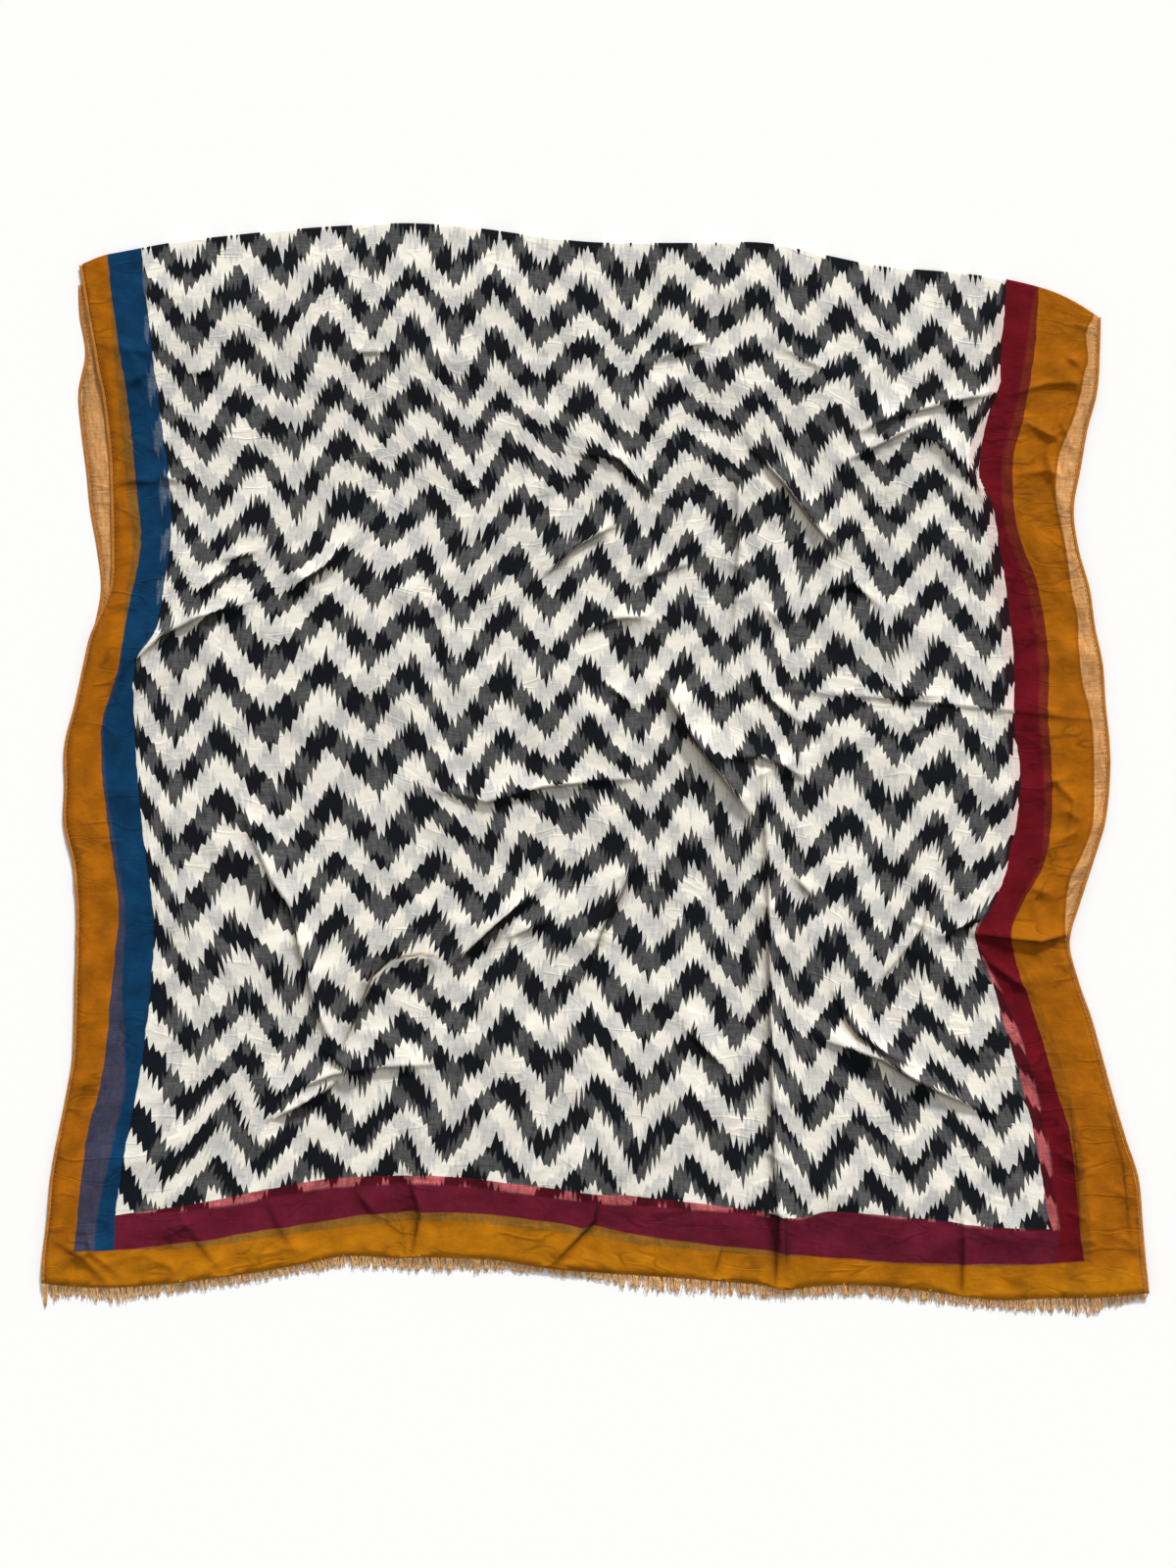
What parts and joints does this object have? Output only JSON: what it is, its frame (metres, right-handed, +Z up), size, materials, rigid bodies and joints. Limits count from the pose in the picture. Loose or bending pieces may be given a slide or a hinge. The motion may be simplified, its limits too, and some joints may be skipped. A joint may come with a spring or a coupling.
{
  "type": "hijab scarf folded flat",
  "caption": "Long sheer printed scarf with rolled side hems and fringed ends, folded once across its length and lying flat.",
  "frame": {"origin": "on the surface it lies on, under the middle of the laid-out cloth's box", "axes": "+X across the cloth from the left hem to the right hem, +Y along the cloth towards the fold, +Z up off the surface"},
  "size_m": [1.129, 1.1137, 0.0226],
  "materials": {
    "cloth": "sheer printed plain weave, matte",
    "hem": "rolled and stitched, matte",
    "fringe": "loose twisted threads, matte"
  },
  "bodies": {
    "root": {"upper_layer": "cloth", "under_layer": "cloth", "upper_hem_left": "hem", "upper_hem_right": "hem", "under_hem_left": "hem", "under_hem_right": "hem", "upper_fringe": "fringe", "under_fringe": "fringe"}
  },
  "joints": []
}
